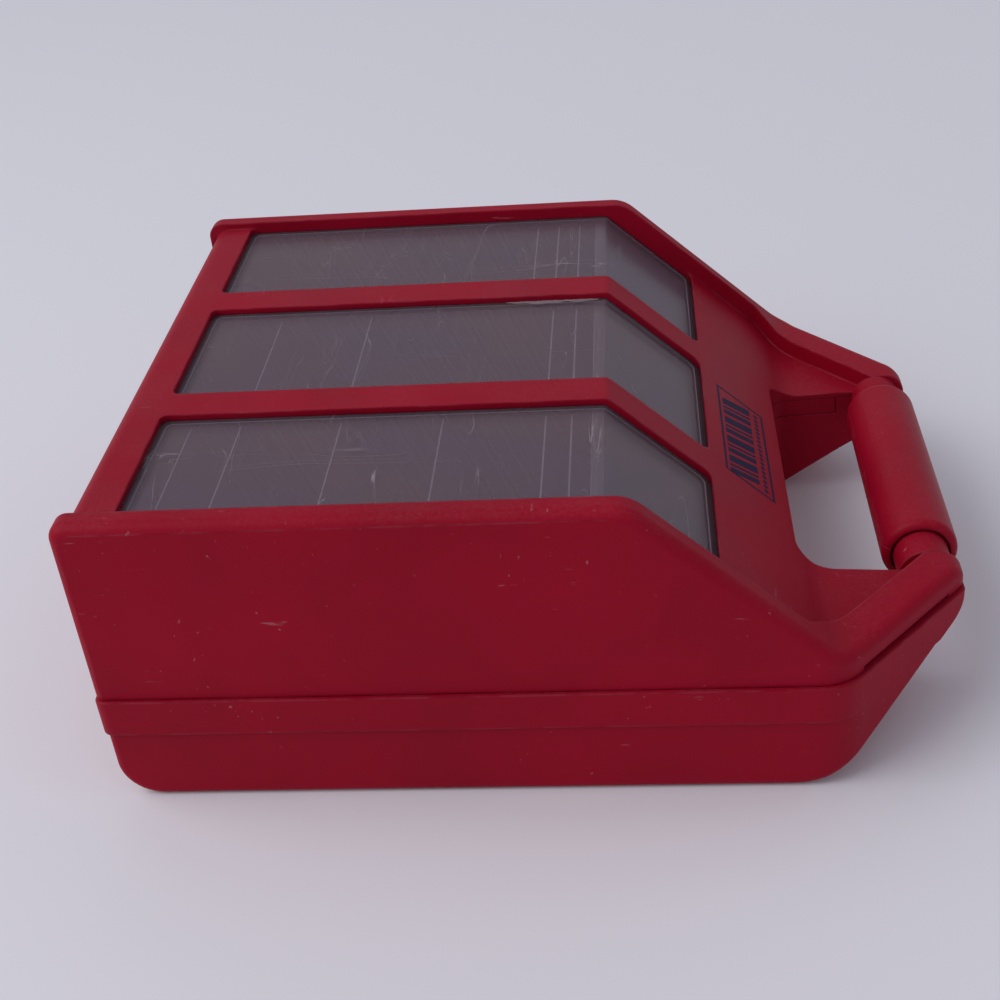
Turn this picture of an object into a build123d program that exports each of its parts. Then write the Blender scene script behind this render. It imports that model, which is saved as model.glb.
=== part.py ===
from build123d import *
import math
import os

# Card storage case, lying on its flat back with the windows up.
# +X runs from the hinge end to the handle, +Y to the far side, +Z up.
# Millimetres. The origin is the centre of the footprint at the resting face.
# Places along the case are first given as distances from the hinge end of the side walls.

# Case sizes
CASE_WIDTH = 250.0
CASE_HEIGHT = 119.4
WALL = 2.5
PARTING_HEIGHT = 46.0
PANEL_DROP = 2.9
RAIL_WIDTH = 9.5
END_RECESS = 3.0
RAIL_BEND_LEAD = 6.8
SLOPE_ANGLE = 42.2
SLOPE_REACH = 8.1
RAIL_BEND_RADIUS = 14.0
PANEL_BEND_RADIUS = 4.0
VALLEY_RADIUS = 16.0
RAIL_EDGE_RADIUS = 4.5
END_TOP_RADIUS = 6.0
END_CORNER_RADIUS = 5.0

# Back shell sizes
BAND_HEIGHT = 15.0
BAND_PROUD = 1.5
BAND_END_PROUD = 0.5
BACK_END_STEP = 1.0
BACK_END_RADIUS = 15.0
BACK_EDGE_RADIUS = 3.0
FLOOR_REACH = 1.7
FLOOR_END_RADIUS = 24.0
PARTITION_THICKNESS = 2.0
PARTITION_HEIGHT = 22.0

# Handle sizes
HOLE_START = 249.1
HOLE_LENGTH = 32.5
HOLE_WIDTH = 124.0
HOLE_FLARE = 2.5
HOLE_CORNER_RADIUS = 8.0
SKIRT_HEIGHT = 7.3
ARM_SHOULDER = 9.9
ARM_TIP_REACH = 12.1
ARM_TIP_WIDTH = 7.0
ARM_TOP_WIDTH = 15.0
ARM_RISE = 7.5
ARM_CORNER_RADIUS = 18.0
ARM_TIP_RADIUS = 9.0
ARM_NOSE_RADIUS = 8.4
ARM_UNDERSIDE_RADIUS = 10.0
SOCKET_FLOOR = 3.05
SEAM_GROOVE_HEIGHT = 2.2
SEAM_GROOVE_DEPTH = 2.2
SEAM_GROOVE_LENGTH = 52.0
GRIP_DIAMETER = 28.0
GRIP_END_GAP = 12.5
GRIP_END_RADIUS = 3.0
GRIP_RECESS_DEPTH = 3.0
GRIP_RECESS_GAP = 1.0
GRIP_SEAM_ANGLE = 14.0
BAR_DIAMETER = 16.0
NECK_DIAMETER = 20.0
JOURNAL_DIAMETER = 12.0
JOURNAL_LENGTH = 10.0
PEG_DIAMETER = 3.0
PEG_LENGTH = 3.0
PEG_SPACING = 80.0
BAR_SCREW_DIAMETER = 3.5
BAR_SCREW_HEAD_DIAMETER = 6.5
BAR_SCREW_HEAD_HEIGHT = 2.2
BAR_SCREW_GRIP = 3.0
BAR_SCREW_BITE = 8.0
BAR_SCREW_SLOT = 1.0

# Windows
WINDOW_START = 20.0
SLOPE_RAIL_WIDTH = 30.6
MIDDLE_WINDOW_INSET = 6.87
WINDOW_BAR_WIDTH = 15.6
WINDOW_CORNER_RADIUS = 3.0
PANE_THICKNESS = 1.5
PANE_OVERLAP = 4.0
PANE_CORNER_RADIUS = 5.0

# Trays and dividers
TRAY_WALL = 1.5
TRAY_END_GAP = 0.6
TRAY_TOP_GAP = 2.5
TRAY_BEND_GAP = 3.7
TRAY_CORNER_RADIUS = 12.0
TRAY_LATCH_GAP = 2.5
SLOT_PITCH = 9.3
SLOT_COUNT = 16
SLOT_ANGLE = 22.0
SLOT_RIB_THICKNESS = 1.0
SLOT_RIB_DEPTH = 1.5
DIVIDER_THICKNESS = 1.2
DIVIDER_CORNER_RADIUS = 5.0

# Hinge
PIN_DIAMETER = 2.4
KNUCKLE_DIAMETER = 5.5
KNUCKLE_COUNT = 7
HINGE_MARGIN = 27.0
LEAF_HEIGHT = 6.0

# Latch
LATCH_WIDTH = 30.0
LATCH_PLATE = 3.0
LATCH_PIVOT_RISE = 3.5
LATCH_DROP = 17.5
LATCH_FACE_SETBACK = 0.7
LATCH_TAB_REACH = 2.2
LATCH_TAB_HEIGHT = 2.5
LATCH_BARREL_DIAMETER = 5.2
LATCH_PIN_DIAMETER = 2.5
LATCH_RECESS = 5.5
LATCH_HEAD_ROOM = 1.9
LATCH_FOOT_ROOM = 2.0
HOOK_WIDTH = 18.0
HOOK_HEIGHT = 2.5
HOOK_DROP = 13.0
HOOK_REACH = 3.8
HOOK_WINDOW_DROP = 1.5

# Clearances
PARTING_GAP = 0.2
SIDE_CLEARANCE = 0.4
SLOT_CLEARANCE = 0.2
SHAFT_CLEARANCE = 0.08
SEAT_CLEARANCE = 0.05
RUNNING_CLEARANCE = 0.3
HOOK_CLEARANCE = 0.3

# Worked-out places
HALF_WIDTH = CASE_WIDTH / 2
HINGE_AXIS = -BAND_END_PROUD
BOSS_START = HOLE_START + HOLE_LENGTH
GRIP_AXIS = BOSS_START + GRIP_DIAMETER / 2
LENGTH_CENTRE = (HINGE_AXIS - KNUCKLE_DIAMETER / 2 + GRIP_AXIS + GRIP_DIAMETER / 2) / 2
PANEL_HEIGHT = CASE_HEIGHT - PANEL_DROP
WEB_HEIGHT = PARTING_HEIGHT + WALL
ARM_HEIGHT = WEB_HEIGHT + ARM_RISE
SLOPE = math.tan(math.radians(SLOPE_ANGLE))
SLOT_LEAN = math.tan(math.radians(SLOT_ANGLE))
PANEL_BEND = HOLE_START + SLOPE_REACH - (PANEL_HEIGHT - WEB_HEIGHT) / SLOPE
RAIL_BEND = PANEL_BEND + RAIL_BEND_LEAD
FLOOR_LENGTH = HOLE_START + FLOOR_REACH
HALF_HOLE = HOLE_WIDTH / 2
HALF_HOLE_AT_GRIP = HALF_HOLE + HOLE_FLARE
ARM_START = HOLE_START + ARM_SHOULDER
ARM_END = GRIP_AXIS + ARM_TIP_REACH
HALF_ARM_END = HALF_HOLE_AT_GRIP + ARM_TIP_WIDTH
ARM_TIP_BOTTOM = PARTING_HEIGHT - JOURNAL_DIAMETER / 2 - SOCKET_FLOOR
GRIP_LENGTH = 2 * (HALF_HOLE_AT_GRIP - GRIP_END_GAP)
INNER_HALF_WIDTH = HALF_WIDTH - WALL
ROW_WIDTH = (2 * INNER_HALF_WIDTH - 2 * PARTITION_THICKNESS) / 3
ROW_PITCH = ROW_WIDTH + PARTITION_THICKNESS
TRAY_WIDTH = ROW_WIDTH - 2 * SIDE_CLEARANCE
TRAY_INSIDE = TRAY_WIDTH - 2 * TRAY_WALL
RECESS_BACK = HOLE_START - LATCH_RECESS
LATCH_BLOCK_BACK = RECESS_BACK - WALL
SKIRT_BOTTOM = PARTING_HEIGHT - SKIRT_HEIGHT
TRAY_START = END_RECESS + WALL + TRAY_END_GAP
TRAY_END = LATCH_BLOCK_BACK - TRAY_LATCH_GAP
TRAY_TOP = PANEL_HEIGHT - WALL - PANE_THICKNESS - TRAY_TOP_GAP
TRAY_TOP_END = PANEL_BEND - TRAY_BEND_GAP
WINDOW_END = HOLE_START - SLOPE_RAIL_WIDTH
WINDOW_EDGE = ROW_PITCH / 2 - MIDDLE_WINDOW_INSET
HINGE_LENGTH = CASE_WIDTH - 2 * HINGE_MARGIN
LATCH_PIVOT_HEIGHT = PARTING_HEIGHT + LATCH_PIVOT_RISE
LATCH_BOTTOM = PARTING_HEIGHT - LATCH_DROP
LATCH_RECESS_TOP = LATCH_PIVOT_HEIGHT + LATCH_BARREL_DIAMETER / 2 + LATCH_HEAD_ROOM
LATCH_RECESS_BOTTOM = LATCH_BOTTOM - LATCH_FOOT_ROOM
HOOK_BOTTOM = PARTING_HEIGHT - HOOK_DROP
SKIRT_END = BOSS_START - WALL
BAR_HALF_LENGTH = HALF_HOLE_AT_GRIP + JOURNAL_LENGTH
BIG = 400.0

# Rows of cards, and the slots that hold a divider in each row, counted from the sloping end
ROWS = {"near": -1, "middle": 0, "far": 1}
DIVIDERS = {"near": [16, 14, 10, 6, 2, 1], "middle": [14, 10, 2, 1], "far": [3, 2, 1]}


def x_at(distance):
    """Model X of a place given by its distance from the hinge end."""
    return distance - LENGTH_CENTRE


def side_points(points):
    """Side-view points as (distance, height), moved to model X and Z."""
    return [(x_at(distance), height) for distance, height in points]


# Outlines that several pieces share

def round_corners(sketch, corners, radii):
    """Round the sketch's corners that lie at the given local points."""
    for corner, radius in zip(corners, radii):
        if radius > 0:
            fillet(sketch.vertices().sort_by_distance((*corner, 0))[0], radius)


def side_view(top, bend, shelf, start, bend_radius, inset=0.0):
    """Side view from the resting face to a top that slopes down to a level shelf."""
    shelf_start = bend + (top - shelf) / SLOPE
    nose_radius = ARM_NOSE_RADIUS if shelf > WEB_HEIGHT else 0.0
    corners = side_points([
        (start, 0.0),
        (FLOOR_LENGTH, 0.0),
        (ARM_END, ARM_TIP_BOTTOM),
        (ARM_END, shelf),
        (shelf_start, shelf),
        (bend, top),
        (start, top),
    ])
    radii = [
        BACK_END_RADIUS,
        FLOOR_END_RADIUS,
        ARM_UNDERSIDE_RADIUS,
        nose_radius,
        VALLEY_RADIUS,
        bend_radius,
        END_TOP_RADIUS,
    ]
    with BuildSketch(Plane.XZ) as view:
        with BuildLine():
            Polyline(corners, close=True)
        make_face()
        round_corners(view, corners, radii)
        if inset:
            offset(amount=-inset, kind=Kind.INTERSECTION, mode=Mode.REPLACE)
    return view.sketch


def low_side_view(inset=0.0):
    """Side view at the window panel and the web round the hand hole."""
    return side_view(PANEL_HEIGHT, PANEL_BEND, WEB_HEIGHT, END_RECESS, PANEL_BEND_RADIUS, inset)


def high_side_view(inset=0.0):
    """Side view at the rails and the arms."""
    return side_view(CASE_HEIGHT, RAIL_BEND, ARM_HEIGHT, 0.0, RAIL_BEND_RADIUS, inset)


def plan_view(side_proud=0.0, arm_proud=0.0, end_proud=0.0, end_radius=0.0, inset=0.0):
    """Plan view with the two arms and the open hand hole between them."""
    run = ARM_END - ARM_START
    rise = HALF_WIDTH - HALF_ARM_END
    reach = math.hypot(run, rise)
    # The arm's outer line is moved out along its own normal.
    start_x = ARM_START + (arm_proud * reach - side_proud * run) / rise
    end_y = HALF_ARM_END + arm_proud * (reach - rise) / run
    half = [
        (x_at(-end_proud), HALF_WIDTH + side_proud),
        (x_at(start_x), HALF_WIDTH + side_proud),
        (x_at(ARM_END + arm_proud), end_y),
        (x_at(ARM_END + arm_proud), HALF_HOLE_AT_GRIP),
        (x_at(BOSS_START), HALF_HOLE_AT_GRIP),
        (x_at(HOLE_START), HALF_HOLE),
    ]
    corners = half + [(x, -y) for x, y in reversed(half)]
    half_radii = [end_radius, ARM_CORNER_RADIUS, ARM_TIP_RADIUS, 0.0, 0.0, HOLE_CORNER_RADIUS]
    with BuildSketch(Plane.XY) as view:
        with BuildLine():
            Polyline(corners, close=True)
        make_face()
        round_corners(view, corners, half_radii + half_radii[::-1])
        if inset:
            offset(amount=-inset, kind=Kind.INTERSECTION, mode=Mode.REPLACE)
    return view.sketch


def raised_view(with_rails=True, inset=0.0):
    """Plan of the raised arms, from the rails to the bosses, with or without the rails."""
    run = ARM_END - ARM_START
    rise = HALF_WIDTH - HALF_ARM_END
    shift = ARM_TOP_WIDTH * math.hypot(run, rise) / rise
    rail_inside = HALF_WIDTH - RAIL_WIDTH
    inner_start = ARM_START + RAIL_WIDTH * run / rise - shift
    inner_end = ARM_START + (HALF_WIDTH - HALF_HOLE_AT_GRIP) * run / rise - shift
    rail_start = -BIG if with_rails else inner_start - shift
    half = [
        (x_at(rail_start), HALF_WIDTH),
        (x_at(ARM_START), HALF_WIDTH),
        (x_at(ARM_END), HALF_ARM_END),
        (x_at(ARM_END), HALF_HOLE_AT_GRIP),
        (x_at(inner_end), HALF_HOLE_AT_GRIP),
        (x_at(inner_start), rail_inside),
        (x_at(rail_start), rail_inside),
    ]
    with BuildSketch(Plane.XY) as view:
        with BuildLine():
            Polyline(half, close=True)
        make_face()
        if inset:
            offset(amount=-inset, kind=Kind.INTERSECTION, mode=Mode.REPLACE)
        mirror(about=Plane.XZ)
    return view.sketch


def block(side, plan):
    """Solid with the given side view and plan view."""
    with BuildPart() as solid:
        extrude(side, amount=BIG, both=True)
        extrude(plan, amount=BIG, both=True, mode=Mode.INTERSECT)
    return solid.part


def slab(start, end, width, bottom, top):
    """Plain block across the case, from one distance to another."""
    with BuildPart() as solid:
        with BuildSketch(Plane.XY.offset(bottom)):
            with Locations(((x_at(start) + x_at(end)) / 2, 0)):
                Rectangle(end - start, width)
        extrude(amount=top - bottom)
    return solid.part


def cross_rod(distance, height, diameter, start_y, end_y):
    """Round rod or bore along Y, between two places."""
    with BuildPart() as solid:
        with BuildSketch(Plane.XZ.offset(-start_y)):
            with Locations((x_at(distance), height)):
                Circle(diameter / 2)
        extrude(amount=start_y - end_y)
    return solid.part


def case_inside():
    """Room inside the closed case, up to the solid bosses."""
    with BuildPart() as room:
        add(block(low_side_view(WALL), plan_view(inset=WALL)))
        add(block(high_side_view(WALL), raised_view(with_rails=False, inset=WALL)))
        add(slab(END_RECESS + WALL, SKIRT_END, 2 * BIG, 0, BIG), mode=Mode.INTERSECT)
    return room.part


def skirt(clearance=0.0):
    """Part of the hand hole's wall that belongs to the front cover, below the parting plane."""
    with BuildPart() as wall:
        bottom = SKIRT_BOTTOM - clearance
        end = SKIRT_END - RUNNING_CLEARANCE + clearance
        add(slab(HOLE_START - WALL, end, 2 * (HALF_HOLE_AT_GRIP + WALL), bottom, PARTING_HEIGHT))
        add(block(low_side_view(), plan_view()), mode=Mode.INTERSECT)
    return wall.part


# Hinge knuckles

def knuckle_spans(first):
    """Y ranges of every second knuckle, from the first one given."""
    pitch = HINGE_LENGTH / KNUCKLE_COUNT
    for index in range(first, KNUCKLE_COUNT, 2):
        start = -HINGE_LENGTH / 2 + index * pitch
        yield start + RUNNING_CLEARANCE / 2, start + pitch - RUNNING_CLEARANCE / 2


def knuckles(first, leaf):
    """Barrels round the hinge axis with their leaves; the leaf is a side-view outline."""
    with BuildPart() as row:
        for start, end in knuckle_spans(first):
            with BuildSketch(Plane.XZ.offset(-start)):
                with Locations((x_at(HINGE_AXIS), PARTING_HEIGHT)):
                    Circle(KNUCKLE_DIAMETER / 2)
                with BuildLine():
                    Polyline(side_points(leaf), close=True)
                make_face()
            extrude(amount=start - end)
    return row.part


# Latch recess, half of it in each shell

LATCH_CHEEK_WIDTH = LATCH_WIDTH + 2 * SIDE_CLEARANCE + 2 * WALL


def latch_housing(bottom, top):
    """Block behind the hand hole's wall that carries the latch recess."""
    return slab(LATCH_BLOCK_BACK, HOLE_START, LATCH_CHEEK_WIDTH, bottom, top)


def latch_recess(bottom, top):
    """Space that the latch lever lies in."""
    return slab(RECESS_BACK, HOLE_START + WALL, LATCH_WIDTH + 2 * SIDE_CLEARANCE, bottom, top)


# Seats of the handle bar in both shells

def bar_sockets(diameter, end_gap):
    """Bores for the two journals of the handle bar."""
    with BuildPart() as sockets:
        for side in (-1, 1):
            end = side * (BAR_HALF_LENGTH + end_gap)
            add(cross_rod(GRIP_AXIS, PARTING_HEIGHT, diameter, side * HALF_HOLE, end))
    return sockets.part


def bar_screw_room(clearance=0.0, head_depth=BAR_SCREW_HEAD_HEIGHT):
    """Screws, one under each journal, or with a clearance the room that they take."""
    journal_bottom = PARTING_HEIGHT - JOURNAL_DIAMETER / 2
    head_top = journal_bottom - BAR_SCREW_GRIP
    with BuildPart() as screws:
        for side in (-1, 1):
            place = (x_at(GRIP_AXIS), side * (HALF_HOLE_AT_GRIP + JOURNAL_LENGTH / 2))
            with BuildSketch(Plane.XY.offset(head_top)):
                with Locations(place):
                    Circle(BAR_SCREW_HEAD_DIAMETER / 2 + clearance)
            extrude(amount=-head_depth)
            with BuildSketch(Plane.XY.offset(head_top)):
                with Locations(place):
                    Circle(BAR_SCREW_DIAMETER / 2 + clearance)
            extrude(amount=BAR_SCREW_GRIP + BAR_SCREW_BITE + clearance)
    return screws.part


LATCH_PIVOT = RECESS_BACK + LATCH_BARREL_DIAMETER / 2 + SIDE_CLEARANCE
COVER_BOTTOM = PARTING_HEIGHT + PARTING_GAP


# Back shell: the tray-shaped lower half with the rim band and the lower half of the arms

def back_side_view(start):
    """Side view of the back shell, whose base end lies at the given distance."""
    return side_view(PANEL_HEIGHT, PANEL_BEND, WEB_HEIGHT, start, PANEL_BEND_RADIUS)


BAND_BOTTOM = PARTING_HEIGHT - BAND_HEIGHT
back_leaf = [
    (HINGE_AXIS - KNUCKLE_DIAMETER / 2, PARTING_HEIGHT),
    (HINGE_AXIS, PARTING_HEIGHT - LEAF_HEIGHT),
    (HINGE_AXIS + WALL, PARTING_HEIGHT - LEAF_HEIGHT),
    (HINGE_AXIS + WALL, PARTING_HEIGHT),
]

with BuildPart() as rim_band:
    band_view = plan_view(BAND_PROUD, BAND_PROUD, BAND_END_PROUD, END_CORNER_RADIUS)
    add(block(back_side_view(HINGE_AXIS), band_view))
    add(slab(-BIG, BIG, 2 * BIG, BAND_BOTTOM, PARTING_HEIGHT), mode=Mode.INTERSECT)

with BuildPart() as hook_window:
    window_bottom = HOOK_BOTTOM - HOOK_WINDOW_DROP
    window_top = HOOK_BOTTOM + HOOK_HEIGHT + HOOK_CLEARANCE
    add(slab(LATCH_BLOCK_BACK, RECESS_BACK, HOOK_WIDTH + 2 * SIDE_CLEARANCE, window_bottom, window_top))

with BuildPart() as back_shell:
    add(block(back_side_view(BACK_END_STEP), plan_view(0, BAND_PROUD, -BACK_END_STEP)))
    split(bisect_by=Plane.XY.offset(PARTING_HEIGHT), keep=Keep.BOTTOM)
    resting_face = back_shell.faces().sort_by(Axis.Z)[0]
    fillet(resting_face.edges().filter_by(Axis.X), BACK_EDGE_RADIUS)
    add(rim_band.part)
    add(case_inside(), mode=Mode.SUBTRACT)
    add(skirt(PARTING_GAP), mode=Mode.SUBTRACT)
    for side in (-1, 1):
        with BuildSketch(Plane.XY.offset(WALL)):
            with Locations(((x_at(TRAY_START) + x_at(TRAY_END)) / 2, side * ROW_PITCH / 2)):
                Rectangle(TRAY_END - TRAY_START - 2 * TRAY_CORNER_RADIUS, PARTITION_THICKNESS)
        extrude(amount=PARTITION_HEIGHT)
    add(latch_housing(LATCH_RECESS_BOTTOM - WALL, SKIRT_BOTTOM - PARTING_GAP))
    add(latch_recess(LATCH_RECESS_BOTTOM, BIG), mode=Mode.SUBTRACT)
    add(hook_window.part, mode=Mode.SUBTRACT)
    knuckle_room = KNUCKLE_DIAMETER + 2 * RUNNING_CLEARANCE
    for start, end in knuckle_spans(1):
        room_start = start - RUNNING_CLEARANCE
        room_end = end + RUNNING_CLEARANCE
        add(cross_rod(HINGE_AXIS, PARTING_HEIGHT, knuckle_room, room_start, room_end), mode=Mode.SUBTRACT)
    add(knuckles(0, back_leaf))
    pin_bore = PIN_DIAMETER + 2 * SHAFT_CLEARANCE
    add(cross_rod(HINGE_AXIS, PARTING_HEIGHT, pin_bore, -BIG, BIG), mode=Mode.SUBTRACT)
    journal_bore = JOURNAL_DIAMETER + 2 * SEAT_CLEARANCE
    add(bar_sockets(journal_bore, SEAT_CLEARANCE), mode=Mode.SUBTRACT)
    add(bar_screw_room(SEAT_CLEARANCE, BIG), mode=Mode.SUBTRACT)
back_shell.part.label = "back_shell"


# Front cover: the window frame with its rails, the upper half of the arms and the latch cheeks

cover_leaf = [
    (HINGE_AXIS, COVER_BOTTOM),
    (END_RECESS + WALL / 2, COVER_BOTTOM),
    (END_RECESS + WALL / 2, PARTING_HEIGHT + LEAF_HEIGHT),
    (END_RECESS, PARTING_HEIGHT + LEAF_HEIGHT),
    (HINGE_AXIS, PARTING_HEIGHT + KNUCKLE_DIAMETER / 2),
]


def window_view(extra, radius):
    """Plan of the three windows, grown by an extra margin."""
    rail_inside = HALF_WIDTH - RAIL_WIDTH
    outer_start = WINDOW_EDGE + WINDOW_BAR_WIDTH
    outer_width = rail_inside - outer_start
    outer_middle = (rail_inside + outer_start) / 2
    length = WINDOW_END - WINDOW_START
    middle = (x_at(WINDOW_START) + x_at(WINDOW_END)) / 2
    with BuildSketch(Plane.XY) as view:
        with Locations((middle, 0)):
            RectangleRounded(length + 2 * extra, 2 * (WINDOW_EDGE + extra), radius)
        with Locations((middle, outer_middle), (middle, -outer_middle)):
            RectangleRounded(length + 2 * extra, outer_width + 2 * extra, radius)
    return view.sketch


with BuildPart() as rails:
    add(block(high_side_view(), plan_view()))
    split(bisect_by=Plane.XY.offset(COVER_BOTTOM), keep=Keep.TOP)
    rail_top = rails.faces().sort_by(Axis.Z)[-1]
    fillet(rail_top.edges().filter_by(Axis.X), RAIL_EDGE_RADIUS)
    extrude(raised_view(), amount=BIG, both=True, mode=Mode.INTERSECT)

with BuildPart() as cover_housing:
    add(latch_housing(SKIRT_BOTTOM, LATCH_RECESS_TOP + WALL))
    add(block(low_side_view(), plan_view()), mode=Mode.INTERSECT)

with BuildPart() as arm_grooves:
    # Finger grooves along the parting line on the outside of both arms.
    run = ARM_END - ARM_START
    rise = HALF_WIDTH - HALF_ARM_END
    with BuildSketch(Plane.XY.offset(PARTING_HEIGHT)):
        with Locations((x_at(ARM_START + run / 2), (HALF_WIDTH + HALF_ARM_END) / 2)):
            groove_angle = -math.degrees(math.atan2(rise, run))
            SlotOverall(SEAM_GROOVE_LENGTH, 2 * SEAM_GROOVE_DEPTH, rotation=groove_angle)
        mirror(about=Plane.XZ)
    extrude(amount=SEAM_GROOVE_HEIGHT)

with BuildPart() as front_cover:
    add(block(low_side_view(), plan_view()))
    add(slab(-BIG, GRIP_AXIS, 2 * BIG, COVER_BOTTOM, BIG), mode=Mode.INTERSECT)
    add(rails.part)
    add(skirt())
    add(case_inside(), mode=Mode.SUBTRACT)
    slope_end_height = PANEL_HEIGHT - (WINDOW_END - PANEL_BEND) * SLOPE
    with BuildSketch(Plane.XY.offset(CASE_HEIGHT)):
        add(window_view(0, WINDOW_CORNER_RADIUS))
    extrude(amount=slope_end_height - 2 * WALL - CASE_HEIGHT, mode=Mode.SUBTRACT)
    add(cover_housing.part)
    add(latch_recess(0, LATCH_RECESS_TOP), mode=Mode.SUBTRACT)
    add(arm_grooves.part, mode=Mode.SUBTRACT)
    add(knuckles(1, cover_leaf))
    add(cross_rod(HINGE_AXIS, PARTING_HEIGHT, pin_bore, -BIG, BIG), mode=Mode.SUBTRACT)
    latch_bore = LATCH_PIN_DIAMETER + 2 * SEAT_CLEARANCE
    latch_pin_half = LATCH_CHEEK_WIDTH / 2
    latch_bores = cross_rod(LATCH_PIVOT, LATCH_PIVOT_HEIGHT, latch_bore, -latch_pin_half, latch_pin_half)
    add(latch_bores, mode=Mode.SUBTRACT)
    bar_room = JOURNAL_DIAMETER + 2 * RUNNING_CLEARANCE
    add(bar_sockets(bar_room, RUNNING_CLEARANCE), mode=Mode.SUBTRACT)
front_cover.part.label = "front_cover"


# Clear window panes, bent with the panel and seated against its inside

def window_pane(row):
    """Pane behind one window of the front cover."""
    strip = 2 * WINDOW_EDGE + WINDOW_BAR_WIDTH
    with BuildPart() as pane:
        add(block(low_side_view(WALL), window_view(PANE_OVERLAP, PANE_CORNER_RADIUS)))
        extrude(low_side_view(WALL + PANE_THICKNESS), amount=BIG, both=True, mode=Mode.SUBTRACT)
        with BuildSketch(Plane.XY.offset(PARTING_HEIGHT)):
            with Locations((0, row * strip)):
                Rectangle(BIG, strip)
        extrude(amount=BIG, mode=Mode.INTERSECT)
    return pane.part


# Clear card trays with slanting slot ribs on both side walls

def tray_outline(inset=0.0):
    """Side view of a tray with a sloping end, or of its inside, open at the top."""
    slope_shift = inset / math.sin(math.radians(SLOPE_ANGLE))
    top = TRAY_TOP + inset
    right = TRAY_END - inset
    slope_top = TRAY_TOP_END - slope_shift + (TRAY_TOP - top) / SLOPE
    slope_foot = TRAY_TOP - (right - TRAY_TOP_END + slope_shift) * SLOPE
    corners = side_points([
        (TRAY_START + inset, WALL + inset),
        (right, WALL + inset),
        (right, slope_foot),
        (slope_top, top),
        (TRAY_START + inset, top),
    ])
    with BuildSketch(Plane.XZ) as outline:
        with BuildLine():
            Polyline(corners, close=True)
        make_face()
        round_corners(outline, corners, [TRAY_CORNER_RADIUS - inset])
    return outline.sketch


def leaning_plate(top_distance, thickness, bottom, top):
    """Side view of a plate that leans back, given the distance of its middle at the tray's top."""
    half = thickness / math.cos(math.radians(SLOT_ANGLE)) / 2
    low = top_distance + (TRAY_TOP - bottom) * SLOT_LEAN
    high = top_distance + (TRAY_TOP - top) * SLOT_LEAN
    return side_points([(low - half, bottom), (low + half, bottom), (high + half, top), (high - half, top)])


def slot_place(slot):
    """Distance of a slot at the tray's top, counted from the sloping end."""
    return TRAY_TOP_END - slot * SLOT_PITCH


def card_tray(row):
    """Tray of one row."""
    side_plane = Plane.XZ.offset(-row * ROW_PITCH)
    rib_offset = (DIVIDER_THICKNESS + SLOT_RIB_THICKNESS) / 2 + SLOT_CLEARANCE
    rib_step = rib_offset / math.cos(math.radians(SLOT_ANGLE))
    inside_bottom = WALL + TRAY_WALL
    with BuildPart() as tray:
        with BuildSketch(side_plane):
            add(tray_outline())
        extrude(amount=TRAY_WIDTH / 2, both=True)
        with BuildSketch(side_plane):
            add(tray_outline(TRAY_WALL))
        extrude(amount=TRAY_INSIDE / 2, both=True, mode=Mode.SUBTRACT)
        for side in (-1, 1):
            wall_plane = Plane.XZ.offset(-row * ROW_PITCH + side * TRAY_INSIDE / 2)
            with BuildSketch(wall_plane):
                for slot in range(1, SLOT_COUNT + 1):
                    for step in (-rib_step, rib_step):
                        place = slot_place(slot) + step
                        rib = leaning_plate(place, SLOT_RIB_THICKNESS, inside_bottom, TRAY_TOP)
                        with BuildLine():
                            Polyline(rib, close=True)
                        make_face()
            extrude(amount=-side * SLOT_RIB_DEPTH)
    return tray.part


def divider(row, slot):
    """Plate standing in one slot of a row's tray, with its upper corners rounded."""
    width = TRAY_INSIDE - 2 * SIDE_CLEARANCE
    length = (TRAY_TOP - WALL) / math.cos(math.radians(SLOT_ANGLE))
    upright = Plane(
        origin=(x_at(slot_place(slot)), row * ROW_PITCH, TRAY_TOP),
        x_dir=(0, 1, 0),
        z_dir=Vector(1, 0, 0).rotate(Axis.Y, -SLOT_ANGLE),
    )
    with BuildPart() as plate:
        with BuildSketch(upright):
            with Locations((0, -length)):
                RectangleRounded(width, 2 * length, DIVIDER_CORNER_RADIUS)
        extrude(amount=DIVIDER_THICKNESS / 2, both=True)
        split(bisect_by=Plane.XY.offset(WALL + TRAY_WALL), keep=Keep.TOP)
    return plate.part


# Hinge pin

pin_half = HINGE_LENGTH / 2
hinge_pin = cross_rod(HINGE_AXIS, PARTING_HEIGHT, PIN_DIAMETER, -pin_half, pin_half)
hinge_pin.label = "hinge_pin"


# Latch lever and its pin

with BuildPart() as latch_lever:
    plate_front = HOLE_START - LATCH_FACE_SETBACK
    plate_back = plate_front - LATCH_PLATE
    hook_tip = plate_back - HOOK_REACH
    with BuildSketch(Plane.XZ):
        with BuildLine():
            Polyline(side_points([
                (plate_back, LATCH_PIVOT_HEIGHT),
                (plate_back, LATCH_BOTTOM),
                (plate_front + LATCH_TAB_REACH, LATCH_BOTTOM),
                (plate_front + LATCH_TAB_REACH, LATCH_BOTTOM + LATCH_TAB_HEIGHT / 2),
                (plate_front, LATCH_BOTTOM + LATCH_TAB_HEIGHT),
                (plate_front, LATCH_PIVOT_HEIGHT),
            ]), close=True)
        make_face()
        with Locations((x_at(LATCH_PIVOT), LATCH_PIVOT_HEIGHT)):
            Circle(LATCH_BARREL_DIAMETER / 2)
    extrude(amount=LATCH_WIDTH / 2, both=True)
    add(slab(hook_tip, plate_back, HOOK_WIDTH, HOOK_BOTTOM, HOOK_BOTTOM + HOOK_HEIGHT))
    lever_bore = LATCH_PIN_DIAMETER + 2 * SHAFT_CLEARANCE
    add(cross_rod(LATCH_PIVOT, LATCH_PIVOT_HEIGHT, lever_bore, -BIG, BIG), mode=Mode.SUBTRACT)
latch_lever.part.label = "latch_lever"

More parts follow.
